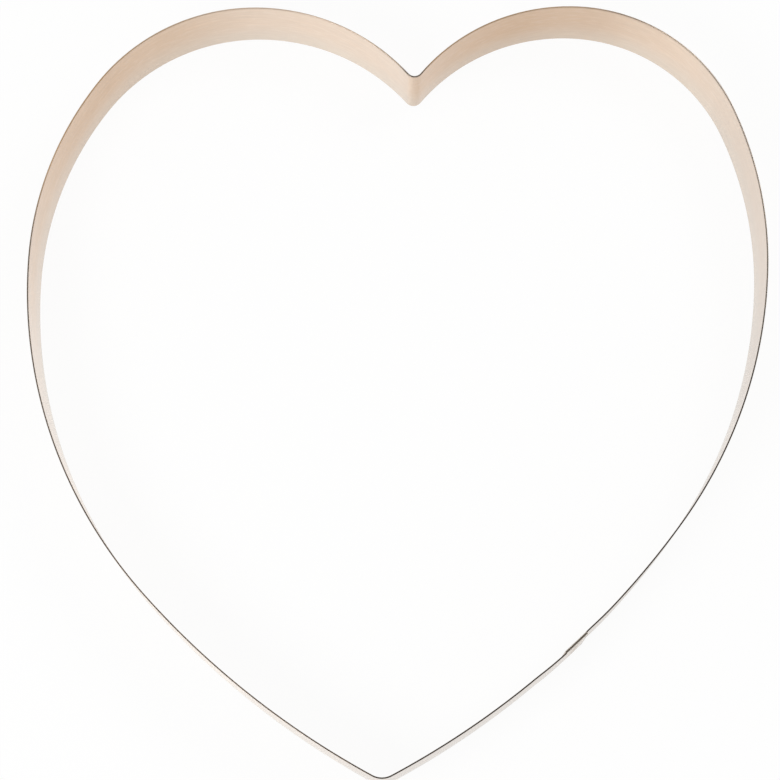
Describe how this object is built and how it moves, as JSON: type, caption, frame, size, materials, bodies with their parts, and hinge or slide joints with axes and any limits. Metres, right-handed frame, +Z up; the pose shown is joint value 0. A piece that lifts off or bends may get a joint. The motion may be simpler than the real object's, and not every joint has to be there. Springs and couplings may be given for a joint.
{
  "type": "cookie cutter",
  "caption": "Large heart-shaped cookie cutter bent on edge from one thin copper-coloured metal strip, lapped and spot welded on one flank.",
  "frame": {"origin": "on the surface that the cutter stands on, under the middle of the heart's outline seen from above", "axes": "+Z up along the strip's height, from the cutting edge to the upper rim; +Y from the heart's tip to its cleft; +X to the right as seen from above, the side with the lapped seam"},
  "size_m": [0.1502, 0.1605, 0.019],
  "materials": {
    "plated_strip": "thin steel strip with a satin copper plating, plain cut edges",
    "weld_nuggets": "dull copper-coloured dimples left by spot welding"
  },
  "bodies": {
    "root": {"band": "plated_strip", "spot_welds": "weld_nuggets"}
  },
  "joints": []
}
